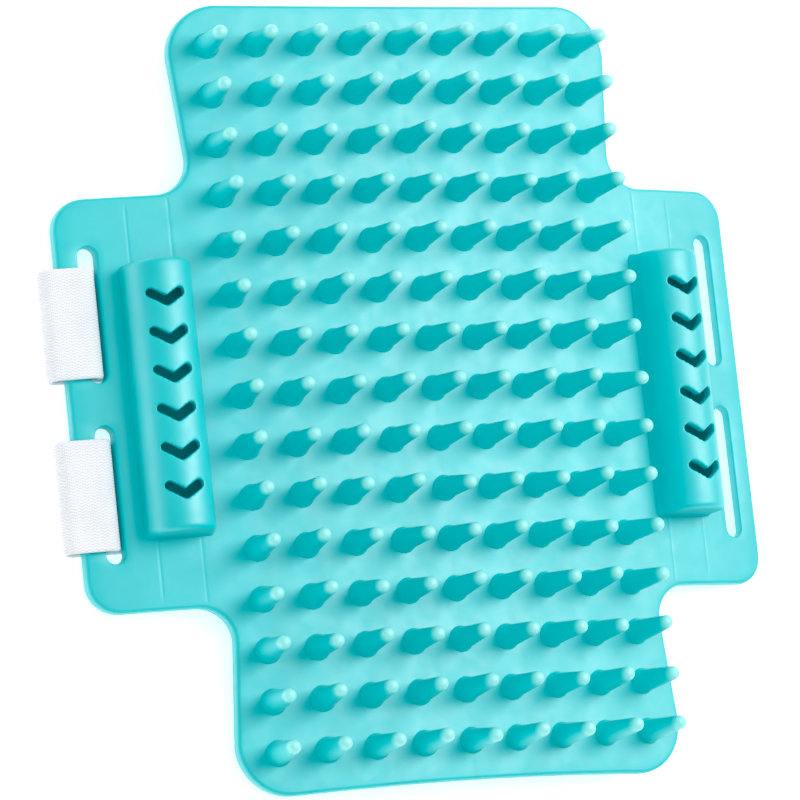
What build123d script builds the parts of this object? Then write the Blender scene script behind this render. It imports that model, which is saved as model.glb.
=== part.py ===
"""Strap-on rubber grooming pad: a crowned sheet with massage pins, two wings that fold back,
two vented pockets and two elastic straps looped through the left wing's slots.

Millimetres. The origin is the middle of the pad's back face. +X runs across the pad to the
right wing, +Y up its length, +Z out of the pin side. The sheet is part of a cylinder whose
axis runs along Y, so every height is worked out from that cylinder.
"""

import os
from math import cos, sin

from build123d import *

# Crown of the sheet
THICKNESS = 3.0
BACK_RADIUS = 347.0
FACE_RADIUS = BACK_RADIUS + THICKNESS
CROWN_CENTRE_Z = -BACK_RADIUS

# Outline of the centre panel
PANEL_HALF_WAIST = 52.9
PANEL_HALF_WIDTH = 54.8
PANEL_HALF_HEIGHT = 89.3
PANEL_END_HOLLOW = 0.8
PANEL_CORNER_RADIUS = 11.7

# Outline of the wings
WING_HALF_SPAN = 84.0
WING_HALF_HEIGHT = 46.5
WING_CORNER_RADIUS = 7.0
WING_ROOT_RADIUS = 7.8
FOLD_X = 54.0
FOLD_GAP = 0.1
EDGE_ROUND = 0.9

# Massage pins
PIN_ROWS = 15
PIN_COLUMNS = 9
PIN_COLUMN_PITCH = 11.5
PIN_ROW_PITCH = 11.4
PIN_BASE_RADIUS = 2.65
PIN_TIP_RADIUS = 1.6
PIN_TIP_HEIGHT = 12.2

# Pockets
POCKET_ARC = 63.3
POCKET_WIDTH = 15.0
POCKET_LENGTH = 60.8
POCKET_CREST = 10.6
POCKET_WALL = 2.0
POCKET_ROUND = 1.2
POCKET_SLIT_WIDTH = 1.0
POCKET_SLIT_LENGTH = 50.0
POCKET_SLIT_OFFSET = 2.9
VENTS_PER_POCKET = 6
VENT_PITCH = 8.6
VENT_HALF_SPAN = 3.3
VENT_DROP = 2.2
VENT_STROKE = 2.1

# Strap slots
SLOT_X = 77.2
SLOT_Y = 20.2
SLOT_LENGTH = 30.6
SLOT_WIDTH = 4.2

# Elastic straps, all depths counted down from the pin face
STRAP_WIDTH = 25.0
STRAP_THICKNESS = 1.5
STRAP_TOP_DEPTH = 3.4
STRAP_BOTTOM_DEPTH = STRAP_TOP_DEPTH + STRAP_THICKNESS
UPPER_STRAP_Y = 18.2
LOWER_STRAP_Y = -20.3
LOOP_ARC = 83.2
LOOP_WIDTH = 12.3
LOOP_RISE = 2.3
LOOP_CORNER_RADIUS = 3.3
STRAP_START_X = 75.3
STRAP_END_X = 47.8
TACK_START_X = 72.5
TACK_LENGTH = 4.0
TACK_THICKNESS = 0.3
PATCH_WIDTH = 22.0
PATCH_THICKNESS = 1.0
HOOK_LENGTH = 24.0
PILE_LENGTH = 46.0
PATCH_GAP = 2.0

# Tall enough to cut through the whole crowned sheet
CUT_BOTTOM = -40.0
CUT_HEIGHT = 80.0


def face_plane(arc, y):
    """Plane lying on the pin face at a distance along it, its normal out of the pin side."""
    angle = arc / FACE_RADIUS
    origin = (FACE_RADIUS * sin(angle), y, FACE_RADIUS * cos(angle) + CROWN_CENTRE_Z)
    return Plane(origin=origin, x_dir=(cos(angle), 0, -sin(angle)), z_dir=(sin(angle), 0, cos(angle)))


def section_plane(arc, y):
    """Plane across the pad at a distance along its face: local Y stands up from the face."""
    angle = arc / FACE_RADIUS
    origin = (FACE_RADIUS * sin(angle), y, FACE_RADIUS * cos(angle) + CROWN_CENTRE_Z)
    return Plane(origin=origin, x_dir=(cos(angle), 0, -sin(angle)), z_dir=(0, -1, 0))


def crown_ring(inner_radius, outer_radius, y=0):
    """Ring about the crown's axis, to be extruded along Y and cut down to a curved layer."""
    with BuildSketch(Plane.XZ.offset(-y)) as ring:
        with Locations((0, CROWN_CENTRE_Z)):
            Circle(outer_radius)
            Circle(inner_radius, mode=Mode.SUBTRACT)
    return ring.sketch


def crown_disc():
    """Everything under the pin face, taken off a foot so that it sits on the sheet all over."""
    with BuildSketch(Plane.XZ) as disc:
        with Locations((0, CROWN_CENTRE_Z)):
            Circle(FACE_RADIUS)
    return disc.sketch


def pad_outline():
    """The whole pad seen from the pin side: a quarter of it, mirrored twice."""
    corner_x = PANEL_HALF_WIDTH - PANEL_CORNER_RADIUS
    corner_y = PANEL_HALF_HEIGHT - PANEL_CORNER_RADIUS
    end_y = PANEL_HALF_HEIGHT - PANEL_END_HOLLOW
    root_x = PANEL_HALF_WAIST + WING_ROOT_RADIUS
    root_y = WING_HALF_HEIGHT + WING_ROOT_RADIUS
    wing_x = WING_HALF_SPAN - WING_CORNER_RADIUS
    wing_y = WING_HALF_HEIGHT - WING_CORNER_RADIUS
    with BuildSketch(Plane.XY.offset(CUT_BOTTOM)) as outline:
        with BuildLine():
            ThreePointArc(
                (0, end_y),
                (corner_x / 2, end_y + PANEL_END_HOLLOW / 4),
                (corner_x, PANEL_HALF_HEIGHT),
            )
            RadiusArc((corner_x, PANEL_HALF_HEIGHT), (PANEL_HALF_WIDTH, corner_y), PANEL_CORNER_RADIUS)
            Line((PANEL_HALF_WIDTH, corner_y), (PANEL_HALF_WAIST, root_y))
            RadiusArc((PANEL_HALF_WAIST, root_y), (root_x, WING_HALF_HEIGHT), -WING_ROOT_RADIUS)
            Line((root_x, WING_HALF_HEIGHT), (wing_x, WING_HALF_HEIGHT))
            RadiusArc((wing_x, WING_HALF_HEIGHT), (WING_HALF_SPAN, wing_y), WING_CORNER_RADIUS)
            Line((WING_HALF_SPAN, wing_y), (WING_HALF_SPAN, 0))
            mirror(about=Plane.XZ)
            mirror(about=Plane.YZ)
        make_face()
    return outline.sketch


def wing_zone(side, start_x):
    """Plan of one wing from a fold line outwards, clear of the centre panel's corners."""
    reach = WING_HALF_SPAN + 10 - start_x
    with BuildSketch(Plane.XY.offset(CUT_BOTTOM)) as zone:
        with Locations((side * (start_x + reach / 2), 0)):
            Rectangle(reach, 2 * (WING_HALF_HEIGHT + WING_ROOT_RADIUS))
    return zone.sketch


def is_rim(edge):
    """True for an edge that runs round the pin face or the back, not up the sheet's side."""
    return abs(edge.tangent_at(0.5).Z) < 0.9


# Centre sheet
with BuildPart() as center_sheet:
    extrude(crown_ring(BACK_RADIUS, FACE_RADIUS), amount=PANEL_HALF_HEIGHT + 5, both=True)
    extrude(pad_outline(), amount=CUT_HEIGHT, mode=Mode.INTERSECT)
    fillet(center_sheet.edges().filter_by(is_rim), EDGE_ROUND)
    for side in (-1, 1):
        extrude(wing_zone(side, FOLD_X), amount=CUT_HEIGHT, mode=Mode.SUBTRACT)
center_sheet.part.label = "center_sheet"


def wing_sheet(side):
    """One wing, from the fold line outwards, with its two strap slots and the pocket's slit."""
    with BuildPart() as wing:
        extrude(crown_ring(BACK_RADIUS, FACE_RADIUS), amount=PANEL_HALF_HEIGHT + 5, both=True)
        extrude(pad_outline(), amount=CUT_HEIGHT, mode=Mode.INTERSECT)
        fillet(wing.edges().filter_by(is_rim), EDGE_ROUND)
        extrude(wing_zone(side, FOLD_X + FOLD_GAP), amount=CUT_HEIGHT, mode=Mode.INTERSECT)
        with BuildSketch(Plane.XY.offset(CUT_BOTTOM)):
            with Locations((side * SLOT_X, SLOT_Y), (side * SLOT_X, -SLOT_Y)):
                SlotOverall(SLOT_LENGTH, SLOT_WIDTH, rotation=90)
        extrude(amount=CUT_HEIGHT, mode=Mode.SUBTRACT)
        slit_arc = side * (POCKET_ARC + POCKET_SLIT_OFFSET)
        with BuildSketch(face_plane(slit_arc, 0).offset(-2 * THICKNESS)):
            SlotOverall(POCKET_SLIT_LENGTH, POCKET_SLIT_WIDTH, rotation=90)
        extrude(amount=4 * THICKNESS, mode=Mode.SUBTRACT)
    return wing


def pocket_section(arc, width, crest):
    """Upright sides under a half-round crest, running down past the sheet's face."""
    radius = width / 2
    spring_line = crest - radius
    with BuildSketch(section_plane(arc, 0)) as section:
        with BuildLine():
            Polyline(
                (-radius, spring_line),
                (-radius, -THICKNESS),
                (radius, -THICKNESS),
                (radius, spring_line),
            )
            ThreePointArc((radius, spring_line), (0, crest), (-radius, spring_line))
        make_face()
    return section.sketch


def vent_outlines(arc):
    """V-shaped slots with round ends, pointing down the pad, one above the other."""
    arms = [(-VENT_HALF_SPAN, VENT_DROP / 2), (0, -VENT_DROP / 2), (VENT_HALF_SPAN, VENT_DROP / 2)]
    with BuildSketch(face_plane(arc, 0).offset(POCKET_CREST + 1)) as vents:
        with GridLocations(0, VENT_PITCH, 1, VENTS_PER_POCKET):
            for start, end in zip(arms, arms[1:]):
                SlotCenterPoint(
                    ((start[0] + end[0]) / 2, (start[1] + end[1]) / 2), end, VENT_STROKE
                )
    return vents.sketch


def pocket(side):
    """Hollow half-round pocket standing on a wing, filled through the slit, vented on its crest."""
    arc = side * POCKET_ARC
    outside = pocket_section(arc, POCKET_WIDTH, POCKET_CREST)
    inside = pocket_section(arc, POCKET_WIDTH - 2 * POCKET_WALL, POCKET_CREST - POCKET_WALL)
    with BuildPart() as shell:
        extrude(outside, amount=POCKET_LENGTH / 2, both=True)
        ends = shell.faces().filter_by(Axis.Y)
        fillet(ends.edges(), POCKET_ROUND)
        extrude(crown_disc(), amount=POCKET_LENGTH, both=True, mode=Mode.SUBTRACT)
        extrude(inside, amount=POCKET_LENGTH / 2 - POCKET_WALL, both=True, mode=Mode.SUBTRACT)
        extrude(vent_outlines(arc), amount=2 - POCKET_CREST, mode=Mode.SUBTRACT)
    return shell


left_wing_sheet = wing_sheet(-1)
left_wing_sheet.part.label = "left_wing_sheet"

right_wing_sheet = wing_sheet(1)
right_wing_sheet.part.label = "right_wing_sheet"

left_pocket = pocket(-1)
left_pocket.part.label = "left_pocket"

right_pocket = pocket(1)
right_pocket.part.label = "right_pocket"


# Massage pins, one node to a row, row 1 at the top
def pin_row(y):
    """A row of tapered, round-tipped pins standing square to the crowned face."""
    tip = PIN_TIP_HEIGHT + PIN_TIP_RADIUS
    with BuildPart() as row:
        for column in range(PIN_COLUMNS):
            arc = (column - (PIN_COLUMNS - 1) / 2) * PIN_COLUMN_PITCH
            plane = face_plane(arc, y)
            with BuildSketch(section_plane(arc, y)):
                with BuildLine():
                    Polyline(
                        (0, tip),
                        (0, -1),
                        (PIN_BASE_RADIUS, -1),
                        (PIN_BASE_RADIUS, 0),
                        (PIN_TIP_RADIUS, PIN_TIP_HEIGHT),
                    )
                    RadiusArc((0, tip), (PIN_TIP_RADIUS, PIN_TIP_HEIGHT), PIN_TIP_RADIUS)
                make_face()
            revolve(axis=Axis(plane.origin, plane.z_dir))
        extrude(crown_disc(), amount=PANEL_HALF_HEIGHT, both=True, mode=Mode.SUBTRACT)
    return row


pin_rows = []
for row_index in range(PIN_ROWS):
    row_y = ((PIN_ROWS - 1) / 2 - row_index) * PIN_ROW_PITCH
    row = pin_row(row_y)
    row.part.label = f"pin_row_{row_index + 1:02d}"
    pin_rows.append(row)


def strap_layer(y, start_x, end_x, width, top_depth, thickness):
    """A flat run of strap that follows the crown at a depth below the pin face."""
    top_radius = FACE_RADIUS - top_depth
    with BuildPart() as layer:
        extrude(crown_ring(top_radius - thickness, top_radius, y), amount=width / 2, both=True)
        with BuildSketch(Plane.XY.offset(CUT_BOTTOM)):
            with Locations(((start_x + end_x) / 2, y)):
                Rectangle(end_x - start_x, width)
        extrude(amount=CUT_HEIGHT, mode=Mode.INTERSECT)
    return layer


def strap_loop(y):
    """The closed end of a strap, round the bar between a slot and the wing's outer edge."""
    height = LOOP_RISE + STRAP_BOTTOM_DEPTH
    middle = (LOOP_RISE - STRAP_BOTTOM_DEPTH) / 2
    with BuildPart() as loop:
        with BuildSketch(section_plane(-LOOP_ARC, y)):
            with Locations((0, middle)):
                RectangleRounded(LOOP_WIDTH, height, LOOP_CORNER_RADIUS)
                RectangleRounded(
                    LOOP_WIDTH - 2 * STRAP_THICKNESS,
                    height - 2 * STRAP_THICKNESS,
                    LOOP_CORNER_RADIUS - STRAP_THICKNESS,
                    mode=Mode.SUBTRACT,
                )
        extrude(amount=STRAP_WIDTH / 2, both=True)
    return loop


def strap(name, y):
    """Every piece of one strap, by node name."""
    hook_start = STRAP_END_X - 1 - HOOK_LENGTH
    pile_start = hook_start - PATCH_GAP - PILE_LENGTH
    web = (STRAP_WIDTH, STRAP_TOP_DEPTH, STRAP_THICKNESS)
    patch = (PATCH_WIDTH, STRAP_BOTTOM_DEPTH, PATCH_THICKNESS)
    tack = (PATCH_WIDTH, STRAP_BOTTOM_DEPTH, TACK_THICKNESS)
    return {
        f"{name}_strap_loop": strap_loop(y),
        f"{name}_strap_back": strap_layer(y, -STRAP_START_X, -FOLD_X - FOLD_GAP, *web),
        f"{name}_bar_tack": strap_layer(y, -TACK_START_X, -TACK_START_X + TACK_LENGTH, *tack),
        f"{name}_strap_tail": strap_layer(y, -FOLD_X, STRAP_END_X, *web),
        f"{name}_pile_patch": strap_layer(y, pile_start, pile_start + PILE_LENGTH, *patch),
        f"{name}_hook_patch": strap_layer(y, hook_start, hook_start + HOOK_LENGTH, *patch),
    }


strap_pieces = {**strap("upper", UPPER_STRAP_Y), **strap("lower", LOWER_STRAP_Y)}
for label, piece in strap_pieces.items():
    piece.part.label = label

# One STEP file to a node
os.makedirs("parts", exist_ok=True)
rubber = [center_sheet, left_wing_sheet, right_wing_sheet, left_pocket, right_pocket]
for piece in rubber + pin_rows + list(strap_pieces.values()):
    export_step(piece.part, f"parts/{piece.part.label}.step")
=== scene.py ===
"""Looks of the strap-on rubber grooming pad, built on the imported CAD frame.

Lengths are worked out in millimetres and turned to metres where a mesh is made.
The pad's skin, pins, pockets and straps are new meshes that stand for the CAD solids
of the same places, so that the soft edges, knit and stitching show.
"""

import random
from math import asin, atan2, ceil, cos, hypot, pi, radians, sin, sqrt

import bpy
from mathutils import Matrix, Vector, noise
from mathutils.geometry import delaunay_2d_cdt


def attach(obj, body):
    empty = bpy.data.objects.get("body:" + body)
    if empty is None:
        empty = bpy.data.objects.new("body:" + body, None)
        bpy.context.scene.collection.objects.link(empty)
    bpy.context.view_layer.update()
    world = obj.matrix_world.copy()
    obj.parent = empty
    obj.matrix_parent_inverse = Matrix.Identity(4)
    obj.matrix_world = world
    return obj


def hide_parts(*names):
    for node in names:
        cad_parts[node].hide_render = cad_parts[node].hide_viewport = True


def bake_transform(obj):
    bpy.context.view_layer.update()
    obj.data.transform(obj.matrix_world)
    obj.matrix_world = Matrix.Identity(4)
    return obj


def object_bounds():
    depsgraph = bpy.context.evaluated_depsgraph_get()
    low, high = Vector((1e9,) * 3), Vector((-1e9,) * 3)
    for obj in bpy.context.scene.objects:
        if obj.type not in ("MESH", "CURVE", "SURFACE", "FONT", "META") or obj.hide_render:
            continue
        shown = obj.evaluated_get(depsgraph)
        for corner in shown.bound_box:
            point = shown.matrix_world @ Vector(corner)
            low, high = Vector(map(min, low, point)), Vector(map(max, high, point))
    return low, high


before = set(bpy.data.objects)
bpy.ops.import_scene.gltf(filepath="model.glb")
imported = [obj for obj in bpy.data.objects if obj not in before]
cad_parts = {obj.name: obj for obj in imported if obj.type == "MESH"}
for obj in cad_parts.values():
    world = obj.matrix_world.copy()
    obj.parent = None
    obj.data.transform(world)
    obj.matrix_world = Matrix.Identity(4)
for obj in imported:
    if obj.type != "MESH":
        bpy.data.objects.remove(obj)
cad_low, cad_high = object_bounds()

MM = 0.001

# Crown of the sheet
THICKNESS = 3.0
BACK_RADIUS = 347.0
FACE_RADIUS = BACK_RADIUS + THICKNESS

# Outline of the pad
PANEL_HALF_WAIST = 52.9
PANEL_HALF_WIDTH = 54.8
PANEL_HALF_HEIGHT = 89.3
PANEL_END_HOLLOW = 0.8
PANEL_CORNER_RADIUS = 11.7
WING_HALF_SPAN = 84.0
WING_HALF_HEIGHT = 46.5
WING_CORNER_RADIUS = 7.0
WING_ROOT_RADIUS = 7.8
EDGE_ROUND = 0.9
HOLE_ROUND = 0.45
SKIN_STEP = 2.2
OUTLINE_STEP = 1.0

# Band of the skin at the wings' fold line, where its points lie closer
BEND_START_X = 48.8
BEND_END_X = 55.2
BEND_STEP = 0.8

# Strap slots and pocket slits
SLOT_X = 77.2
SLOT_Y = 20.2
SLOT_LENGTH = 30.6
SLOT_WIDTH = 4.2
SLIT_LENGTH = 50.0
SLIT_WIDTH = 1.0
SLIT_OFFSET = 2.9
SLIT_ROUND = 0.2

# Faint parting lines that run on from the pockets to the wings' edges
PARTING_ARCS = (58.6, 68.4)
PARTING_DEPTH = 0.035
PARTING_WIDTH = 0.45

# Massage pins
PIN_ROWS = 15
PIN_COLUMNS = 9
PIN_COLUMN_PITCH = 11.5
PIN_ROW_PITCH = 11.4
PIN_BASE_RADIUS = 2.65
PIN_TIP_RADIUS = 1.6
PIN_TIP_HEIGHT = 12.2
PIN_FOOT_FLARE = 0.35
PIN_LEAN = 0.32
PIN_SIDES = 32

# Pockets
POCKET_ARC = 63.3
POCKET_ARC_STEPS = 40
POCKET_END_STEPS = 5
POCKET_WIDTH = 15.0
POCKET_LENGTH = 60.8
POCKET_CREST = 10.6
POCKET_WALL = 2.0
POCKET_ROUND = 1.2
POCKET_SINK = 1.2
POCKET_VOXEL = 0.3
POCKET_SOFTENING = 5
POCKET_FLARE = 0.4
POCKET_FLARE_HEIGHT = 1.5
VENTS_PER_POCKET = 6
VENT_PITCH = 8.6
VENT_HALF_SPAN = 3.3
VENT_DROP = 2.2
VENT_STROKE = 2.1

# Elastic straps, all depths counted down from the pin face
STRAP_WIDTH = 25.0
STRAP_THICKNESS = 1.5
STRAP_TOP_DEPTH = 3.4
STRAP_Y = {"upper": 18.2, "lower": -20.3}
LOOP_ARC = 83.2
LOOP_WIDTH = 12.3
LOOP_BULGE = 0.95
LOOP_RISE = 2.3
LOOP_CORNER_RADIUS = 3.3
RUN_START_X = 78.5
STRAP_END_X = 47.8
SWING_END_X = 73.4
RIB_PITCH = 0.66
RIB_HEIGHT = 0.11
RIB_WAVE = 1.45
RIB_SWAY = 0.17
TACK_START_X = 72.5
TACK_LENGTH = 4.0
PATCH_WIDTH = 22.0
PATCH_THICKNESS = 1.0
HOOK_MARGIN = 1.0
HOOK_LENGTH = 24.0
PILE_LENGTH = 46.0
PATCH_GAP = 2.0

# Camera and light
CAMERA_TARGET = (-7.4, -2.0, 0.0)
CAMERA_DISTANCE = 1200.5
CAMERA_AZIMUTH = 290.19
CAMERA_ELEVATION = 62.75
CAMERA_ROLL = 65.76
CAMERA_LENS = 240.66
FLOOR_CLEARANCE = 0.05
FLOOR_HALF_SIZE = 3000
FLOOR_GLOW = 0.45
KEY_ENERGY = 11.0
FILL_ENERGY = 10.0
WORLD_STRENGTH = 0.5
RED_BLACK_LEVEL = 0.055


# ---- Points on the crown ----


def on_crown(x, y, depth=0.0):
    """Point at a depth below the pin face, in millimetres, from its place in plan."""
    radius = FACE_RADIUS - depth
    return Vector((x, y, sqrt(radius * radius - x * x) - BACK_RADIUS))


def face_matrix(arc, y):
    """Local frame on the pin face: X along the face, Y up the pad, Z out of the pin side."""
    angle = arc / FACE_RADIUS
    place = Vector((FACE_RADIUS * sin(angle), y, FACE_RADIUS * cos(angle) - BACK_RADIUS))
    return Matrix.Translation(place) @ Matrix.Rotation(angle, 4, "Y")


# ---- Mesh helpers ----


def mesh_object(name, points, faces, material):
    """Smooth-shaded object from points in millimetres."""
    mesh = bpy.data.meshes.new(name)
    mesh.from_pydata([p * MM for p in points], [], faces)
    mesh.validate()
    mesh.shade_smooth()
    mesh.materials.append(material)
    obj = bpy.data.objects.new(name, mesh)
    bpy.context.scene.collection.objects.link(obj)
    return obj


def applied(obj, name, material):
    """New object with the first one's modifiers applied; the first one is removed."""
    evaluated = obj.evaluated_get(bpy.context.evaluated_depsgraph_get())
    mesh = bpy.data.meshes.new_from_object(evaluated)
    mesh.name = name
    mesh.materials.clear()
    mesh.materials.append(material)
    mesh.shade_smooth()
    bpy.data.objects.remove(obj)
    result = bpy.data.objects.new(name, mesh)
    bpy.context.scene.collection.objects.link(result)
    return result


def arc_points(centre, radius, start, end, step):
    """Points on an arc from one angle to another in degrees, both ends left in."""
    count = max(3, ceil(abs(radians(end - start)) * radius / step))
    angles = [radians(start + (end - start) * i / count) for i in range(count + 1)]
    return [(centre[0] + radius * cos(a), centre[1] + radius * sin(a)) for a in angles]


def resampled(points, step):
    """The same line with points no further apart than a step; corners are kept."""
    result = []
    for (x0, y0), (x1, y1) in zip(points, points[1:]):
        count = max(1, ceil(hypot(x1 - x0, y1 - y0) / step))
        for i in range(count):
            result.append((x0 + (x1 - x0) * i / count, y0 + (y1 - y0) * i / count))
    return result + [points[-1]]


def without_repeats(loop):
    """A closed loop with no two neighbouring points in one place."""
    kept = []
    for point in loop:
        if not kept or hypot(point[0] - kept[-1][0], point[1] - kept[-1][1]) > 1e-4:
            kept.append(point)
    if hypot(kept[0][0] - kept[-1][0], kept[0][1] - kept[-1][1]) < 1e-4:
        kept.pop()
    return kept


def inset(loop, distance):
    """A closed counter-clockwise loop moved inwards; a negative distance moves it outwards."""
    moved = []
    for i, (x, y) in enumerate(loop):
        before, after = loop[i - 1], loop[(i + 1) % len(loop)]
        first = Vector((x - before[0], y - before[1])).normalized()
        second = Vector((after[0] - x, after[1] - y)).normalized()
        normal = Vector((-first.y - second.y, first.x + second.x)).normalized()
        stretch = max(0.5, normal.dot(Vector((-first.y, first.x))))
        moved.append((x + normal.x * distance / stretch, y + normal.y * distance / stretch))
    return moved


def inside(point, loop):
    """True if a point lies inside a closed loop."""
    x, y = point
    result = False
    for (x0, y0), (x1, y1) in zip(loop, loop[1:] + loop[:1]):
        if (y0 > y) != (y1 > y) and x < x0 + (x1 - x0) * (y - y0) / (y1 - y0):
            result = not result
    return result


def tube(path, radius, sides=6):
    """Points and faces of a thin closed tube along a path, for thread and hooks."""
    points, faces = [], []
    for i, place in enumerate(path):
        ahead = path[min(i + 1, len(path) - 1)] - path[max(i - 1, 0)]
        across = ahead.orthogonal().normalized()
        over = ahead.cross(across).normalized()
        for k in range(sides):
            angle = 2 * pi * k / sides
            points.append(place + (across * cos(angle) + over * sin(angle)) * radius)
    for i in range(len(path) - 1):
        for k in range(sides):
            a, b = i * sides + k, i * sides + (k + 1) % sides
            faces.append((a, b, b + sides, a + sides))
    faces.append(tuple(reversed(range(sides))))
    faces.append(tuple(range((len(path) - 1) * sides, len(path) * sides)))
    return points, faces


def gathered(parts):
    """Points and faces of several meshes in one."""
    points, faces = [], []
    for part_points, part_faces in parts:
        start = len(points)
        points += part_points
        faces += [tuple(start + i for i in face) for face in part_faces]
    return points, faces


# ---- Materials ----


def new_material(name):
    """Material with only the principled shader and the output, and the parts of its tree."""
    material = bpy.data.materials.new(name)
    material.use_nodes = True
    nodes = material.node_tree.nodes
    return material, nodes, material.node_tree.links, nodes["Principled BSDF"]


def noise_node(nodes, links, vector, scale, detail):
    """Noise texture at a number of grains to the metre."""
    node = nodes.new("ShaderNodeTexNoise")
    node.inputs["Scale"].default_value = scale
    node.inputs["Detail"].default_value = detail
    links.new(vector, node.inputs["Vector"])
    return node.outputs["Fac"]


def ramp(nodes, links, factor, low, high):
    """Colour ramp between two colours, each given as its place and colour."""
    node = nodes.new("ShaderNodeValToRGB")
    for element, (place, colour) in zip(node.color_ramp.elements, (low, high)):
        element.position = place
        element.color = (*colour, 1.0)
    links.new(factor, node.inputs["Fac"])
    return node.outputs["Color"]


def mixed(nodes, links, factor, first, second, kind="MIX"):
    """Mix of two colours by a factor, which is a socket or a plain number."""
    node = nodes.new("ShaderNodeMix")
    node.data_type = "RGBA"
    node.blend_type = kind
    if isinstance(factor, float):
        node.inputs["Factor"].default_value = factor
    else:
        links.new(factor, node.inputs["Factor"])
    for socket, value in ((node.inputs["A"], first), (node.inputs["B"], second)):
        if isinstance(value, tuple):
            socket.default_value = (*value, 1.0)
        else:
            links.new(value, socket)
    return node.outputs["Result"]


def bumped(nodes, links, height, distance, strength, under=None):
    """Bump of a height in metres, laid over another bump if there is one."""
    node = nodes.new("ShaderNodeBump")
    node.inputs["Distance"].default_value = distance
    node.inputs["Strength"].default_value = strength
    links.new(height, node.inputs["Height"])
    if under is not None:
        links.new(under, node.inputs["Normal"])
    return node.outputs["Normal"]


def rubber_material(name, deep, pale, tipped):
    """Soft moulded rubber: cloudy colour, fine mould grain, a broad dull sheen and, on pins, a painted
    highlight that makes the tips paler.
    """
    material, nodes, links, shader = new_material(name)
    place = nodes.new("ShaderNodeTexCoord").outputs["Object"]
    cloud = noise_node(nodes, links, place, 38.0, 3.0)
    grain = noise_node(nodes, links, place, 2600.0, 2.0)
    ripple = noise_node(nodes, links, place, 210.0, 2.0)
    colour = ramp(nodes, links, cloud, (0.3, deep), (0.7, pale))
    if tipped:
        # Painted highlight: the pins turn paler towards their round tips, standing in for the key light's
        # sheen there
        tip = nodes.new("ShaderNodeAttribute")
        tip.attribute_name = "tip"
        tip_highlight = ramp(nodes, links, tip.outputs["Fac"], (0.0, (0.0, 0.0, 0.0)), (0.8, (0.9, 0.9, 0.9)))
        colour = mixed(nodes, links, tip_highlight, colour, TIP_HIGHLIGHT)
    links.new(colour, shader.inputs["Base Color"])
    gloss = ramp(nodes, links, ripple, (0.35, (0.48, 0.48, 0.48)), (0.65, (0.56, 0.56, 0.56)))
    links.new(gloss, shader.inputs["Roughness"])
    shader.inputs["IOR"].default_value = 1.8
    shader.inputs["Specular IOR Level"].default_value = 1.0
    shader.inputs["Sheen Weight"].default_value = 0.1
    shader.inputs["Sheen Roughness"].default_value = 0.5
    shader.inputs["Subsurface Weight"].default_value = 0.25
    shader.inputs["Subsurface Radius"].default_value = (0.2, 1.0, 1.0)
    shader.inputs["Subsurface Scale"].default_value = 0.0025
    soft = bumped(nodes, links, ripple, 0.00012, 0.35)
    fine = bumped(nodes, links, grain, 0.00003, 0.3, soft)
    links.new(fine, shader.inputs["Normal"])
    return material


def math_node(nodes, links, operation, first, second=0.0):
    """Math node whose inputs are sockets or plain numbers."""
    node = nodes.new("ShaderNodeMath")
    node.operation = operation
    for socket, value in zip(node.inputs, (first, second)):
        if isinstance(value, (int, float)):
            socket.default_value = value
        else:
            links.new(value, socket)
    return node.outputs[0]


def elastic_material(name, rib_strength):
    """White knitted elastic: swaying ribs along the strap with painted shade in their hollows, fine threads
    across, soft sheen.
    """
    material, nodes, links, shader = new_material(name)
    coordinates = nodes.new("ShaderNodeUVMap")
    coordinates.uv_map = "knit"
    split = nodes.new("ShaderNodeSeparateXYZ")
    links.new(coordinates.outputs["UV"], split.inputs["Vector"])
    along, across = split.outputs["X"], split.outputs["Y"]
    turn = math_node(nodes, links, "MULTIPLY", along, 2 * pi / RIB_WAVE)
    sway = math_node(nodes, links, "MULTIPLY", math_node(nodes, links, "SINE", turn), RIB_SWAY)
    lane = math_node(nodes, links, "ADD", across, sway)
    rib_turn = math_node(nodes, links, "MULTIPLY", lane, 2 * pi / RIB_PITCH)
    rib = math_node(nodes, links, "SINE", rib_turn)
    thread_turn = math_node(nodes, links, "MULTIPLY", along, 2 * pi / (RIB_WAVE / 4))
    thread = math_node(nodes, links, "SINE", thread_turn)
    object_place = nodes.new("ShaderNodeTexCoord").outputs["Object"]
    fuzz = noise_node(nodes, links, object_place, 5200.0, 2.0)
    cloud = noise_node(nodes, links, object_place, 160.0, 2.0)
    white = ramp(nodes, links, cloud, (0.3, (0.86, 0.87, 0.90)), (0.7, (0.91, 0.91, 0.93)))
    # Painted shade: the knit is coloured darker and bluer in the hollows between the ribs
    hollow = ramp(nodes, links, rib, (0.0, (0.86, 0.88, 0.92)), (0.6, (1.0, 1.0, 1.0)))
    links.new(mixed(nodes, links, 1.0, white, hollow, "MULTIPLY"), shader.inputs["Base Color"])
    shader.inputs["Roughness"].default_value = 0.85
    shader.inputs["Sheen Weight"].default_value = 0.4
    shader.inputs["Subsurface Weight"].default_value = 0.1
    shader.inputs["Subsurface Radius"].default_value = (1.0, 1.0, 1.0)
    shader.inputs["Subsurface Scale"].default_value = 0.001
    ribs = bumped(nodes, links, rib, 0.00012, rib_strength)
    threads = bumped(nodes, links, thread, 0.00005, 0.5, ribs)
    links.new(bumped(nodes, links, fuzz, 0.00005, 0.4, threads), shader.inputs["Normal"])
    return material


def fibre_material(name, low, high, roughness, scale):
    """Thread, pile or hook nylon: two close whites in fine grain."""
    material, nodes, links, shader = new_material(name)
    place = nodes.new("ShaderNodeTexCoord").outputs["Object"]
    grain = noise_node(nodes, links, place, scale, 3.0)
    links.new(ramp(nodes, links, grain, (0.35, low), (0.65, high)), shader.inputs["Base Color"])
    shader.inputs["Roughness"].default_value = roughness
    shader.inputs["Sheen Weight"].default_value = 0.3
    links.new(bumped(nodes, links, grain, 0.00008, 0.4), shader.inputs["Normal"])
    return material


# Pale mint of the painted highlight on the pin tips
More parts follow.
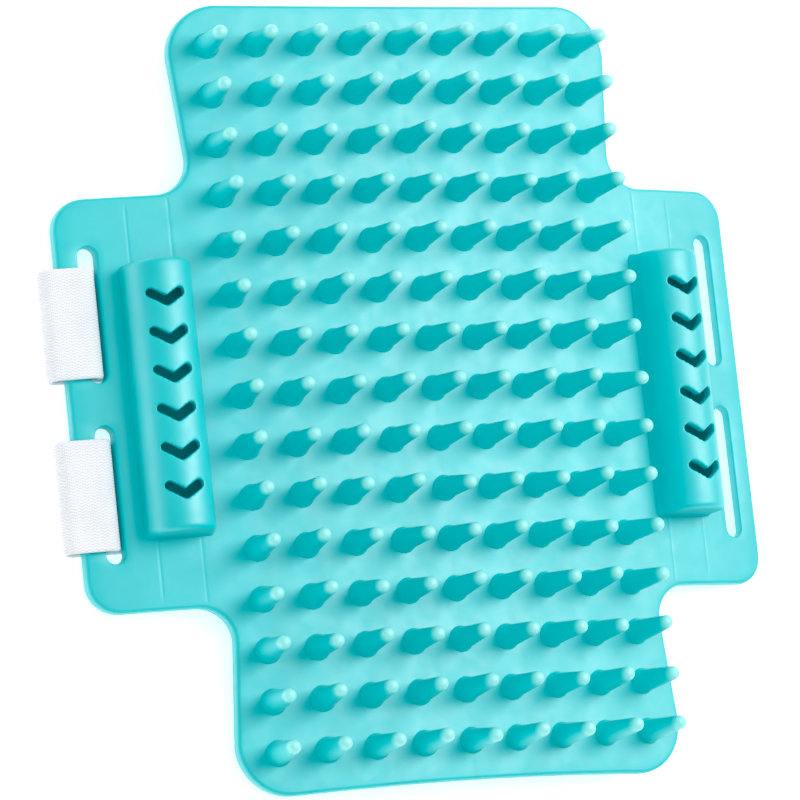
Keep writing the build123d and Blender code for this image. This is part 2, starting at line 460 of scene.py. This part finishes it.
TIP_HIGHLIGHT = (0.34, 0.88, 0.85)
skin_rubber = rubber_material("skin_rubber", (0.005, 0.57, 0.61), (0.012, 0.62, 0.66), False)
pin_rubber = rubber_material("pin_rubber", (0.002, 0.60, 0.63), (0.005, 0.64, 0.67), True)
pocket_rubber = rubber_material("pocket_rubber", (0.005, 0.57, 0.61), (0.012, 0.62, 0.66), False)
ring_elastic = elastic_material("ring_elastic", 0.15)
run_elastic = elastic_material("run_elastic", 0.8)
thread_white = fibre_material("thread_white", (0.74, 0.75, 0.77), (0.86, 0.86, 0.87), 0.6, 3000.0)
pile_white = fibre_material("pile_white", (0.66, 0.67, 0.69), (0.86, 0.86, 0.87), 0.95, 1800.0)
hook_white = fibre_material("hook_white", (0.76, 0.77, 0.79), (0.84, 0.85, 0.86), 0.4, 900.0)


# ---- Pad skin ----


def right_outline():
    """Right half of the pad's outline, from the middle of the top end down to the bottom's."""
    corner_x = PANEL_HALF_WIDTH - PANEL_CORNER_RADIUS
    corner_y = PANEL_HALF_HEIGHT - PANEL_CORNER_RADIUS
    root_x = PANEL_HALF_WAIST + WING_ROOT_RADIUS
    root_y = WING_HALF_HEIGHT + WING_ROOT_RADIUS
    wing_x = WING_HALF_SPAN - WING_CORNER_RADIUS
    wing_y = WING_HALF_HEIGHT - WING_CORNER_RADIUS
    end_steps = ceil(corner_x / OUTLINE_STEP)
    quarter = []
    for i in range(end_steps):
        share = i / end_steps
        quarter.append((corner_x * share, PANEL_HALF_HEIGHT - PANEL_END_HOLLOW * (1 - share * share)))
    quarter += arc_points((corner_x, corner_y), PANEL_CORNER_RADIUS, 90, 0, OUTLINE_STEP)
    quarter += arc_points((root_x, root_y), WING_ROOT_RADIUS, 180, 270, OUTLINE_STEP)
    quarter += arc_points((wing_x, wing_y), WING_CORNER_RADIUS, 90, 0, OUTLINE_STEP)
    quarter.append((WING_HALF_SPAN, 0.0))
    quarter = without_repeats(resampled(quarter, OUTLINE_STEP))
    return quarter + [(x, -y) for x, y in reversed(quarter[:-1])]


def slot_loop(x, y, length, width, step):
    """Round-ended slot through the right wing, counter-clockwise."""
    radius = width / 2
    reach = length / 2 - radius
    loop = arc_points((x, y + reach), radius, 0, 180, step)
    loop += arc_points((x, y - reach), radius, 180, 360, step)
    return without_repeats(resampled(loop + loop[:1], 1.2))


def parting_lines():
    """Lines of plan points for the faint parting lines, closely spaced across each line."""
    start_y = POCKET_LENGTH / 2 + 0.6
    end_y = WING_HALF_HEIGHT - 1.6
    count = ceil((end_y - start_y) / 1.6)
    points = []
    for arc in PARTING_ARCS:
        x = FACE_RADIUS * sin(arc / FACE_RADIUS)
        for offset in (-1.5, -0.6, -0.25, 0.0, 0.25, 0.6, 1.5):
            for i in range(count + 1):
                y = start_y + (end_y - start_y) * i / count
                points.append((x + offset * PARTING_WIDTH, y))
                points.append((x + offset * PARTING_WIDTH, -y))
    return points


def grid_columns():
    """Places across the right half where the skin has columns of points, closer at the bend."""
    columns = []
    x = SKIN_STEP
    while x < WING_HALF_SPAN:
        columns.append(x)
        x += BEND_STEP if BEND_START_X - 2 < x < BEND_END_X + 2 else SKIN_STEP
    return columns


def nearest_gap(point, loop):
    """Distance from a point to the nearest point of a loop."""
    return min(hypot(point[0] - x, point[1] - y) for x, y in loop)


def parting_depth(x, y):
    """How far the pin face dips at a point on or beside a parting line."""
    if not POCKET_LENGTH / 2 < abs(y) < WING_HALF_HEIGHT - 1.2:
        return 0.0
    arc = FACE_RADIUS * asin(x / FACE_RADIUS)
    for line in PARTING_ARCS:
        if abs(arc - line) < 0.3 * PARTING_WIDTH:
            return PARTING_DEPTH
    return 0.0


def half_skin(name, side):
    """Right half of the pad's skin with slots and slit, or the same mirrored to the left."""
    outline = right_outline()
    whole = [(-x, y) for x, y in outline] + outline[-2:0:-1]
    turned = {(round(x, 6), round(y, 6)): i for i, (x, y) in enumerate(whole)}
    picks = [turned[(round(x, 6), round(y, 6))] for x, y in reversed(outline)]
    slit_x = FACE_RADIUS * sin((POCKET_ARC + SLIT_OFFSET) / FACE_RADIUS)
    strap_slot = (SLOT_LENGTH, SLOT_WIDTH, 0.35)
    holes = [
        (slot_loop(SLOT_X, SLOT_Y, *strap_slot), HOLE_ROUND),
        (slot_loop(SLOT_X, -SLOT_Y, *strap_slot), HOLE_ROUND),
        (slot_loop(slit_x, 0, SLIT_LENGTH, SLIT_WIDTH, 0.2), SLIT_ROUND),
    ]

    def rim_loops(kind_round, steps, moved):
        """Plan loops and depths from the pin face, round the edge, to the back."""
        loops = []
        for i in range(steps + 1):
            angle = pi / 2 * i / steps
            loops.append((kind_round * (1 - cos(pi / 2 - angle)), kind_round * (1 - cos(angle))))
        lower = [(shift, THICKNESS - depth) for shift, depth in reversed(loops)]
        return [(moved(shift), depth) for shift, depth in loops + lower]

    def outline_at(shift):
        """The half outline moved inwards, its two ends kept on the middle line."""
        loop = inset(whole, shift)
        half = [loop[i] for i in picks]
        half[0] = (0.0, half[0][1])
        half[-1] = (0.0, half[-1][1])
        return half

    rims = [rim_loops(EDGE_ROUND, 5, outline_at)]
    for hole, hole_round in holes:
        rims.append(rim_loops(hole_round, 3, lambda shift, hole=hole: inset(hole, -shift)))

    points, faces = [], []
    edge_ids = []
    for number, rim in enumerate(rims):
        ids = []
        for loop, depth in rim:
            ids.append(list(range(len(points), len(points) + len(loop))))
            points += [on_crown(x, y, depth) for x, y in loop]
        closed = number > 0
        for upper, lower in zip(ids, ids[1:]):
            count = len(upper)
            for i in range(count if closed else count - 1):
                j = (i + 1) % count
                quad = (upper[i], lower[i], lower[j], upper[j])
                faces.append(tuple(reversed(quad)) if closed else quad)
        edge_ids.append(ids)

    top_outline = rims[0][0][0]
    seam_count = ceil((top_outline[-1][1] - top_outline[0][1]) / SKIN_STEP)
    seam = []
    for i in range(1, seam_count):
        share = i / seam_count
        seam.append((0.0, top_outline[-1][1] + (top_outline[0][1] - top_outline[-1][1]) * share))
    boundary = top_outline + seam
    hole_loops = [rim[0][0] for rim in rims[1:]]

    plan = list(boundary)
    edges = [(i, (i + 1) % len(boundary)) for i in range(len(boundary))]
    for loop in hole_loops:
        start = len(plan)
        plan += loop
        edges += [(start + i, start + (i + 1) % len(loop)) for i in range(len(loop))]
    fixed = len(plan)
    lines = parting_lines()
    for point in lines:
        if inside(point, boundary) and nearest_gap(point, boundary) > 0.8:
            plan.append(point)
    rows = ceil(PANEL_HALF_HEIGHT / SKIN_STEP)
    guards = boundary + [p for loop in hole_loops for p in loop] + plan[fixed:]
    for number, x in enumerate(grid_columns()):
        for row in range(-rows, rows + 1):
            point = (x, (row + 0.5 * (number % 2)) * SKIN_STEP)
            near = 0.5 if BEND_START_X - 2 < x < BEND_END_X + 2 else 1.0
            if not inside(point, boundary) or nearest_gap(point, guards) < near:
                continue
            if any(inside(point, loop) for loop in hole_loops):
                continue
            plan.append(point)
    flat, _, triangles, origins, _, _ = delaunay_2d_cdt([Vector(p) for p in plan], edges, [], 0, 1e-7)

    def kept(triangle):
        """True if a triangle lies on the skin, not in a hole or outside the outline."""
        x = sum(flat[i].x for i in triangle) / 3
        y = sum(flat[i].y for i in triangle) / 3
        return inside((x, y), boundary) and not any(inside((x, y), loop) for loop in hole_loops)

    top_of, back_of = {}, {}
    starts = [(0, len(top_outline), edge_ids[0])]
    start = len(boundary)
    for loop, ids in zip(hole_loops, edge_ids[1:]):
        starts.append((start, len(loop), ids))
        start += len(loop)
    for first, count, ids in starts:
        for i in range(count):
            top_of[first + i] = ids[0][i]
            back_of[first + i] = ids[-1][i]
    seam_top, seam_back = [], []
    for plan_id, (x, y) in enumerate(plan):
        if plan_id in top_of:
            continue
        top_of[plan_id] = len(points)
        points.append(on_crown(x, y, parting_depth(x, y)))
        back_of[plan_id] = len(points)
        points.append(on_crown(x, y, THICKNESS))
        if len(top_outline) <= plan_id < len(boundary):
            seam_top.append(top_of[plan_id])
            seam_back.append(back_of[plan_id])
    for triangle in triangles:
        if kept(triangle):
            a, b, c = (origins[i][0] for i in triangle)
            faces.append((top_of[a], top_of[b], top_of[c]))
            faces.append((back_of[c], back_of[b], back_of[a]))
    seam_face = seam_top + [ids[0] for ids in edge_ids[0]]
    seam_face += list(reversed(seam_back)) + [ids[-1] for ids in reversed(edge_ids[0])]
    faces.append(tuple(reversed(seam_face)))

    if side < 0:
        points = [Vector((-p.x, p.y, p.z)) for p in points]
        faces = [tuple(reversed(face)) for face in faces]
    skin = mesh_object(name, points, faces, skin_rubber)
    seam_set = set(seam_face)
    for edge in skin.data.edges:
        edge.use_edge_sharp = edge.vertices[0] in seam_set and edge.vertices[1] in seam_set
    wing = "right_wing" if side > 0 else "left_wing"
    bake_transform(skin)
    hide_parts("center_sheet", f"{wing}_sheet")
    return skin


half_skin("left_half_skin", -1)
half_skin("right_half_skin", 1)


# ---- Massage pins ----


def pin_profile():
    """Radius and height up a pin, from inside the sheet to its round tip."""
    profile = [(PIN_BASE_RADIUS + PIN_FOOT_FLARE, -0.4)]
    for i in range(5):
        share = i / 4
        flare = PIN_FOOT_FLARE * (1 - share) ** 2
        height = 0.7 * share
        taper = (PIN_BASE_RADIUS - PIN_TIP_RADIUS) * height / PIN_TIP_HEIGHT
        profile.append((PIN_BASE_RADIUS - taper + flare, height))
    for i in range(1, 10):
        height = 0.7 + (PIN_TIP_HEIGHT - 0.7) * i / 10
        taper = (PIN_BASE_RADIUS - PIN_TIP_RADIUS) * height / PIN_TIP_HEIGHT
        profile.append((PIN_BASE_RADIUS - taper, height))
    for i in range(9):
        angle = pi / 2 * i / 9
        profile.append((PIN_TIP_RADIUS * cos(angle), PIN_TIP_HEIGHT + PIN_TIP_RADIUS * sin(angle)))
    return profile


def pin(arc, y, lean):
    """Points, faces and tip shares of one pin that leans a little from square."""
    matrix = face_matrix(arc, y)
    top = PIN_TIP_HEIGHT + PIN_TIP_RADIUS
    points, faces, tips = [], [], []
    for radius, height in pin_profile():
        shift = lean * max(0.0, height / top) ** 1.5
        for k in range(PIN_SIDES):
            angle = 2 * pi * k / PIN_SIDES
            local = Vector((radius * cos(angle) + shift.x, radius * sin(angle) + shift.y, height))
            points.append(matrix @ local)
            tips.append(max(0.0, (height - PIN_TIP_HEIGHT + 1.0) / (PIN_TIP_RADIUS + 1.0)))
    rings = len(points) // PIN_SIDES
    for i in range(rings - 1):
        for k in range(PIN_SIDES):
            a, b = i * PIN_SIDES + k, i * PIN_SIDES + (k + 1) % PIN_SIDES
            faces.append((a, b, b + PIN_SIDES, a + PIN_SIDES))
    faces.append(tuple(reversed(range(PIN_SIDES))))
    crown = len(points)
    points.append(matrix @ Vector((lean.x, lean.y, top)))
    tips.append(1.0)
    last = (rings - 1) * PIN_SIDES
    faces += [(last + k, last + (k + 1) % PIN_SIDES, crown) for k in range(PIN_SIDES)]
    return points, faces, tips


lean_random = random.Random(7)
for row_index in range(PIN_ROWS):
    row_y = ((PIN_ROWS - 1) / 2 - row_index) * PIN_ROW_PITCH
    row_parts, row_tips = [], []
    for column in range(PIN_COLUMNS):
        column_arc = (column - (PIN_COLUMNS - 1) / 2) * PIN_COLUMN_PITCH
        pin_lean = Vector((lean_random.gauss(0, PIN_LEAN), lean_random.gauss(0, PIN_LEAN)))
        pin_points, pin_faces, pin_tips = pin(column_arc, row_y, pin_lean)
        row_parts.append((pin_points, pin_faces))
        row_tips += pin_tips
    node_name = f"pin_row_{row_index + 1:02d}"
    row_object = mesh_object(f"{node_name}_skin", *gathered(row_parts), pin_rubber)
    row_object.data.attributes.new("tip", "FLOAT", "POINT").data.foreach_set("value", row_tips)
    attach(row_object, "center")
    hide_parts(node_name)


# ---- Pockets ----


def pocket_section(half_width, crest, foot):
    """Upright sides under a half-round crest; the same number of points at every width."""
    spring_line = crest - half_width
    section = [(half_width, foot + (spring_line - foot) * i / 6) for i in range(6)]
    for i in range(POCKET_ARC_STEPS + 1):
        angle = pi * i / POCKET_ARC_STEPS
        section.append((half_width * cos(angle), spring_line + half_width * sin(angle)))
    section += [(-half_width, spring_line + (foot - spring_line) * i / 6) for i in range(1, 7)]
    return section


def lofted(sections):
    """Points and faces of a closed solid through sections given as (y, loop)."""
    points, faces = [], []
    count = len(sections[0][1])
    for y, loop in sections:
        points += [Vector((u, y, v)) for u, v in loop]
    for i in range(len(sections) - 1):
        for k in range(count):
            a, b = i * count + k, i * count + (k + 1) % count
            faces.append((a, a + count, b + count, b))
    faces.append(tuple(range(count)))
    faces.append(tuple(reversed(range(len(points) - count, len(points)))))
    return points, faces


def vent_loop(middle_y):
    """V-shaped slot with round ends, its point towards the bottom of the pad."""
    half = VENT_STROKE / 2
    slope = atan2(-VENT_DROP, VENT_HALF_SPAN)
    degrees = slope * 180 / pi
    left = (-VENT_HALF_SPAN, middle_y + VENT_DROP / 2)
    low = (0.0, middle_y - VENT_DROP / 2)
    right = (VENT_HALF_SPAN, middle_y + VENT_DROP / 2)
    loop = arc_points(left, half, degrees + 90, degrees + 270, 0.25)
    loop += arc_points(low, half, degrees + 270, 270 - degrees, 0.25)
    loop += arc_points(right, half, -90 - degrees, 90 - degrees, 0.25)
    loop.append((0.0, low[1] + half / cos(slope)))
    return without_repeats(loop)


def vent_prisms():
    """Points and faces of the six vents as upright prisms through the pocket's crest."""
    parts = []
    for number in range(VENTS_PER_POCKET):
        loop = vent_loop((number - (VENTS_PER_POCKET - 1) / 2) * VENT_PITCH)
        count = len(loop)
        points = [Vector((u, y, v)) for v in (2.0, POCKET_CREST + 2) for u, y in loop]
        faces = [(k, (k + 1) % count, (k + 1) % count + count, k + count) for k in range(count)]
        faces.append(tuple(reversed(range(count))))
        faces.append(tuple(range(count, 2 * count)))
        parts.append((points, faces))
    return gathered(parts)


def cut(obj, tool):
    """Takes the tool's shape out of obj with a boolean; apply before removing the tool."""
    modifier = obj.modifiers.new("cut", "BOOLEAN")
    modifier.operation = "DIFFERENCE"
    modifier.solver = "EXACT"
    modifier.object = tool


def pocket(side):
    """Soft-edged vented pocket on one wing, sunk a little into the skin."""
    half_width, half_length = POCKET_WIDTH / 2, POCKET_LENGTH / 2
    ends = []
    for i in range(POCKET_END_STEPS + 1):
        angle = pi / 2 * i / POCKET_END_STEPS
        shrink = POCKET_ROUND * (1 - sin(angle))
        y = half_length - POCKET_ROUND * (1 - cos(angle))
        ends.append((y, pocket_section(half_width - shrink, POCKET_CREST - shrink, -POCKET_SINK)))
    sections = [(-y, loop) for y, loop in ends] + [(y, loop) for y, loop in reversed(ends)]
    outer = mesh_object("pocket_outer", *lofted(sections), pocket_rubber)
    hollow_loop = pocket_section(half_width - POCKET_WALL, POCKET_CREST - POCKET_WALL, -2 * POCKET_SINK)
    reach = half_length - POCKET_WALL
    hollow_solid = lofted([(-reach, hollow_loop), (reach, hollow_loop)])
    hollow = mesh_object("pocket_hollow", *hollow_solid, pocket_rubber)
    vents = mesh_object("pocket_vents", *vent_prisms(), pocket_rubber)
    cut(outer, hollow)
    cut(outer, vents)
    remesh = outer.modifiers.new("remesh", "REMESH")
    remesh.mode = "VOXEL"
    remesh.voxel_size = POCKET_VOXEL * MM
    smooth = outer.modifiers.new("smooth", "SMOOTH")
    smooth.factor = 0.5
    smooth.iterations = POCKET_SOFTENING
    name = "right_pocket" if side > 0 else "left_pocket"
    shell = applied(outer, f"{name}_shell", pocket_rubber)
    bpy.data.objects.remove(hollow)
    bpy.data.objects.remove(vents)
    matrix = face_matrix(side * POCKET_ARC, 0)
    for vertex in shell.data.vertices:
        local = vertex.co / MM
        if abs(local.x) > half_width - POCKET_WALL / 2 or abs(local.y) > half_length - POCKET_WALL / 2:
            foot = max(0.0, 1 - max(0.0, local.z) / POCKET_FLARE_HEIGHT)
            local.x *= 1 + POCKET_FLARE * foot * foot / half_width
            local.y *= 1 + POCKET_FLARE * foot * foot / half_length
        vertex.co = (matrix @ local) * MM
    shell.data.update()
    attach(shell, "right_wing" if side > 0 else "left_wing")
    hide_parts(name)
    return shell


pocket(-1)
pocket(1)


# ---- Elastic straps ----


def rib(along, across):
    """Height of the knitted ribs at a place on the strap."""
    sway = RIB_SWAY * sin(2 * pi * along / RIB_WAVE)
    return RIB_HEIGHT * (0.5 + 0.5 * sin(2 * pi * (across + sway) / RIB_PITCH))


def band_section(step):
    """Across a strap: (place across, half thickness share, ribbed) round its rounded edges."""
    half = STRAP_WIDTH / 2 - 0.6
    count = ceil(2 * half / step)
    section = [(-half + 2 * half * i / count, 1.0) for i in range(count + 1)]
    section += [(half + 0.6 * sin(pi * i / 6), cos(pi * i / 6)) for i in range(1, 6)]
    section += [(half - 2 * half * i / count, -1.0) for i in range(count + 1)]
    section += [(-half - 0.6 * sin(pi * i / 6), -cos(pi * i / 6)) for i in range(1, 6)]
    return section


def band(name, path, y, closed, step, rib_share, material):
    """Strap along a path of (point, normal), with raised ribs, rounded edges and knit UVs."""
    section = band_section(step)
    count = len(section)
    distance = [0.0]
    for (here, _), (there, _) in zip(path, path[1:]):
        distance.append(distance[-1] + (there - here).length)
    half = STRAP_THICKNESS / 2
    points = []
    for (place, normal), along in zip(path, distance):
        for across, share in section:
            flat = abs(share) == 1.0
            raised = rib(along, across) * rib_share if flat else 0.0
            height = (half - RIB_HEIGHT * rib_share + raised) * share
            points.append(place + Vector((0, y + across, 0)) + normal * height)
    faces, uvs = [], []
    length = distance[-1] + (path[0][0] - path[-1][0]).length
    for i in range(len(path) if closed else len(path) - 1):
        j = (i + 1) % len(path)
        far = length if closed and j == 0 else distance[j]
        for k in range(count):
            m = (k + 1) % count
            faces.append((i * count + k, i * count + m, j * count + m, j * count + k))
            uvs += [(distance[i], section[k][0]), (distance[i], section[m][0])]
            uvs += [(far, section[m][0]), (far, section[k][0])]
    if not closed:
        last = (len(path) - 1) * count
        faces.append(tuple(reversed(range(count))))
        faces.append(tuple(range(last, last + count)))
        uvs += [(0.0, across) for across, _ in reversed(section)]
        uvs += [(distance[-1], across) for across, _ in section]
    strap = mesh_object(name, points, faces, material)
    layer = strap.data.uv_layers.new(name="knit")
    layer.data.foreach_set("uv", [value for pair in uvs for value in pair])
    return strap


def bulge(u, v):
    """How far the loop swells over the slot's inner edge, above the pin face only."""
    share = min(1.0, max(0.0, (v + 0.5) / 1.2))
    return LOOP_BULGE * max(0.0, 2 * u / LOOP_WIDTH) * share * share * (3 - 2 * share)


def loop_path():
    """Middle line of the strap's loop round the bar at the wing's outer edge."""
    strap_bottom = STRAP_TOP_DEPTH + STRAP_THICKNESS
    half_height = (LOOP_RISE + strap_bottom - STRAP_THICKNESS) / 2
    middle = (LOOP_RISE - strap_bottom) / 2
    half_width = (LOOP_WIDTH - STRAP_THICKNESS) / 2
    radius = LOOP_CORNER_RADIUS - STRAP_THICKNESS / 2
    outline = []
    for sign_x, sign_z, start in ((1, 1, 0), (-1, 1, 90), (-1, -1, 180), (1, -1, 270)):
        centre = (sign_x * (half_width - radius), middle + sign_z * (half_height - radius))
        outline += arc_points(centre, radius, start, start + 90, 0.25)
    outline = without_repeats(resampled(outline + outline[:1], 0.25))
    outline = [(u + bulge(u, v), v) for u, v in outline]
    matrix = face_matrix(-LOOP_ARC, 0)
    path = []
    for i, (u, v) in enumerate(outline):
        before, after = outline[i - 1], outline[(i + 1) % len(outline)]
        ahead = Vector((after[0] - before[0], 0, after[1] - before[1])).normalized()
        normal = Vector((ahead.z, 0, -ahead.x))
        path.append((matrix @ Vector((u, 0, v)), matrix.to_3x3() @ normal))
    return path


def back_path(start_x, end_x, step):
    """Middle line of a flat strap run that follows the crown under the pad."""
    depth = STRAP_TOP_DEPTH + STRAP_THICKNESS / 2
    count = ceil((end_x - start_x) / step)
    path = []
    for i in range(count + 1):
        place = on_crown(start_x + (end_x - start_x) * i / count, 0, depth)
        normal = Vector((place.x, 0, place.z + BACK_RADIUS)).normalized()
        path.append((place, -normal))
    return path


def under_strap(x, y, drop):
    """Point below the strap's back face, to lay a patch, loop or stitch on."""
    return on_crown(x, y, STRAP_TOP_DEPTH + STRAP_THICKNESS + drop)


def plate(x0, x1, y, drop, thickness, step, height_at):
    """Thin closed plate under the strap whose lower face rises and falls."""
    columns, rows = ceil((x1 - x0) / step), ceil(PATCH_WIDTH / step)
    points, faces = [], []
    for layer in (0, 1):
        for i in range(columns + 1):
            for j in range(rows + 1):
                x = x0 + (x1 - x0) * i / columns
                across = y - PATCH_WIDTH / 2 + PATCH_WIDTH * j / rows
                edge = i in (0, columns) or j in (0, rows)
                low = drop + thickness * (0.5 if edge else 1.0) + (0 if edge else height_at(x, across))
                points.append(under_strap(x, across, low if layer else drop))
    size = (columns + 1) * (rows + 1)
    for i in range(columns):
        for j in range(rows):
            a = i * (rows + 1) + j
            quad = (a, a + rows + 1, a + rows + 2, a + 1)
            faces.append(quad)
            faces.append(tuple(size + k for k in reversed(quad)))
    rim = [i * (rows + 1) for i in range(columns + 1)]
    rim += [columns * (rows + 1) + j for j in range(1, rows + 1)]
    rim += [i * (rows + 1) + rows for i in range(columns - 1, -1, -1)]
    rim += list(range(rows - 1, 0, -1))
    for k, a in enumerate(rim):
        b = rim[(k + 1) % len(rim)]
        faces.append((b, a, a + size, b + size))
    return points, faces


def pile_height(x, y):
    """Uneven looped pile, as a small rise and fall."""
    place = Vector((x, y, 0))
    return -0.32 * (0.5 + 0.5 * noise.noise(place * 1.7)) - 0.12 * noise.noise(place * 4.1)


def hook_patch(start_x, y):
    """Woven base plate with rows of small bent hooks standing on it."""
    base = 0.35
    parts = [plate(start_x, start_x + HOOK_LENGTH, y, 0.0, base, 0.8, lambda x, across: 0.0)]
    for i in range(1, int(HOOK_LENGTH / 1.1)):
        for j in range(1, int(PATCH_WIDTH / 1.1)):
            x = start_x + i * 1.1
            across = y - PATCH_WIDTH / 2 + j * 1.1 + 0.25 * (i % 2)
            way = 1 if j % 2 else -1
            path = []
            for k in range(6):
                angle = pi * k / 5
                bend = 0.2 * (1 - cos(angle)) * way
                drop = base - 0.05 + 0.5 * sin(min(angle, pi * 0.72)) + 0.1 * (k > 0)
                path.append(under_strap(x + bend, across, drop))
            parts.append(tube(path, 0.09, 5))
    return gathered(parts)


def bar_tack(y):
    """Zigzag of sewn thread across the strap, in a box of running stitches."""
    x0, x1 = -TACK_START_X, -TACK_START_X + TACK_LENGTH
    half = PATCH_WIDTH / 2
    drop = 0.12
    stitches = 44
    parts = []
    zigzag = []
    for i in range(stitches + 1):
        x = x0 + 0.6 if i % 2 else x1 - 0.6
        zigzag.append(under_strap(x, y - half + 1 + (PATCH_WIDTH - 2) * i / stitches, drop))
    parts.append(tube(zigzag, 0.16))
    for x in (x0 + 0.25, x1 - 0.25):
        for i in range(14):
            begin = y - half + PATCH_WIDTH * (i + 0.12) / 14
            end = y - half + PATCH_WIDTH * (i + 0.88) / 14
            stitch = []
            for k in range(5):
                share = k / 4
                lift = drop * sin(pi * share)
                stitch.append(under_strap(x, begin + (end - begin) * share, lift))
            parts.append(tube(stitch, 0.17))
    return gathered(parts)


for strap_name, strap_y in STRAP_Y.items():
    loop_body, back_body, tail_body = (f"{strap_name}_{part}" for part in ("loop", "back", "tail"))
    loop = band(f"{strap_name}_loop_skin", loop_path(), strap_y, True, 0.15, 1.0, ring_elastic)
    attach(loop, loop_body)
    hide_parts(f"{strap_name}_strap_loop")

    middle_x = (SWING_END_X + BEND_END_X) / 2
    back_run = back_path(-RUN_START_X, -middle_x, 0.4)
    back = band(f"{strap_name}_back_skin", back_run, strap_y, False, 0.4, 0.3, run_elastic)
    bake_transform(back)
    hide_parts(f"{strap_name}_strap_back")

    tail_run = back_path(-middle_x, STRAP_END_X, 0.5)
    tail = band(f"{strap_name}_tail_skin", tail_run, strap_y, False, 0.4, 0.3, run_elastic)
    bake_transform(tail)
    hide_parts(f"{strap_name}_strap_tail")

    tack = mesh_object(f"{strap_name}_bar_tack_thread", *bar_tack(strap_y), thread_white)
    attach(tack, back_body)
    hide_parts(f"{strap_name}_bar_tack")

    hook_start = STRAP_END_X - HOOK_MARGIN - HOOK_LENGTH
    hooks = mesh_object(f"{strap_name}_hook_field", *hook_patch(hook_start, strap_y), hook_white)
    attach(hooks, tail_body)
    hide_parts(f"{strap_name}_hook_patch")

    pile_start = hook_start - PATCH_GAP - PILE_LENGTH
    pile_mesh = plate(pile_start, pile_start + PILE_LENGTH, strap_y, 0.0, PATCH_THICKNESS, 0.3, pile_height)
    pile = mesh_object(f"{strap_name}_pile_field", *pile_mesh, pile_white)
    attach(pile, tail_body)
    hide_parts(f"{strap_name}_pile_patch")


# ---- Floor, light and camera ----


def floor_material():
    """Very pale matt sweep, lifted a little so that it reads as a bright studio floor."""
    material, _, _, shader = new_material("floor_white")
    shader.inputs["Base Color"].default_value = (0.97, 0.97, 0.97, 1.0)
    shader.inputs["Roughness"].default_value = 0.9
    shader.inputs["Emission Color"].default_value = (1.0, 1.0, 1.0, 1.0)
    shader.inputs["Emission Strength"].default_value = FLOOR_GLOW
    return material


floor_z = cad_low[2] / MM - FLOOR_CLEARANCE
floor_corners = [Vector((x, y, floor_z)) for x, y in ((-1, -1), (1, -1), (1, 1), (-1, 1))]
floor_corners = [Vector((p.x * FLOOR_HALF_SIZE, p.y * FLOOR_HALF_SIZE, p.z)) for p in floor_corners]
floor = mesh_object("floor", floor_corners, [(0, 1, 2, 3)], floor_material())


def direction(azimuth, elevation):
    """Unit vector towards the camera's or a light's place; azimuth 0 is in front, at -Y."""
    a, e = radians(azimuth), radians(elevation)
    return Vector((sin(a) * cos(e), -cos(a) * cos(e), sin(e)))


def soft_light(name, azimuth, elevation, distance, width, height, energy):
    """Oblong soft box aimed at the pad; its height runs up the sky."""
    data = bpy.data.lights.new(name, "AREA")
    data.shape = "RECTANGLE"
    data.size = width
    data.size_y = height
    data.energy = energy
    light = bpy.data.objects.new(name, data)
    bpy.context.scene.collection.objects.link(light)
    way = direction(azimuth, elevation)
    light.location = way * distance
    light.rotation_euler = (-way).to_track_quat("-Z", "Y").to_euler()
    return light


soft_light("key_light", 112.0, 58.0, 1.3, 0.6, 1.1, KEY_ENERGY)
fill_light = soft_light("fill_light", 280.0, 60.0, 1.6, 1.4, 1.4, FILL_ENERGY)
fill_light.visible_glossy = False

world = bpy.data.worlds.new("studio")
world.use_nodes = True
world.node_tree.nodes["Background"].inputs["Color"].default_value = (1.0, 1.0, 1.0, 1.0)
world.node_tree.nodes["Background"].inputs["Strength"].default_value = WORLD_STRENGTH
world.cycles_visibility.glossy = False
bpy.context.scene.world = world

# Takes off the darkest red, tuned to the deep teal of the rubber in shadow
view = bpy.context.scene.view_settings
view.view_transform = "Standard"
view.use_curve_mapping = True
view.curve_mapping.black_level = (RED_BLACK_LEVEL, 0.0, 0.0)
view.curve_mapping.update()

camera_data = bpy.data.cameras.new("camera")
camera_data.lens = CAMERA_LENS
camera_data.clip_start = 0.05
camera_data.clip_end = 20.0
camera = bpy.data.objects.new("camera", camera_data)
bpy.context.scene.collection.objects.link(camera)
camera_way = direction(CAMERA_AZIMUTH, CAMERA_ELEVATION)
camera.location = (Vector(CAMERA_TARGET) + camera_way * CAMERA_DISTANCE) * MM
aim = (-camera_way).to_track_quat("-Z", "Y").to_matrix()
camera.rotation_euler = (aim @ Matrix.Rotation(radians(CAMERA_ROLL), 3, "Z")).to_euler()
bpy.context.scene.camera = camera
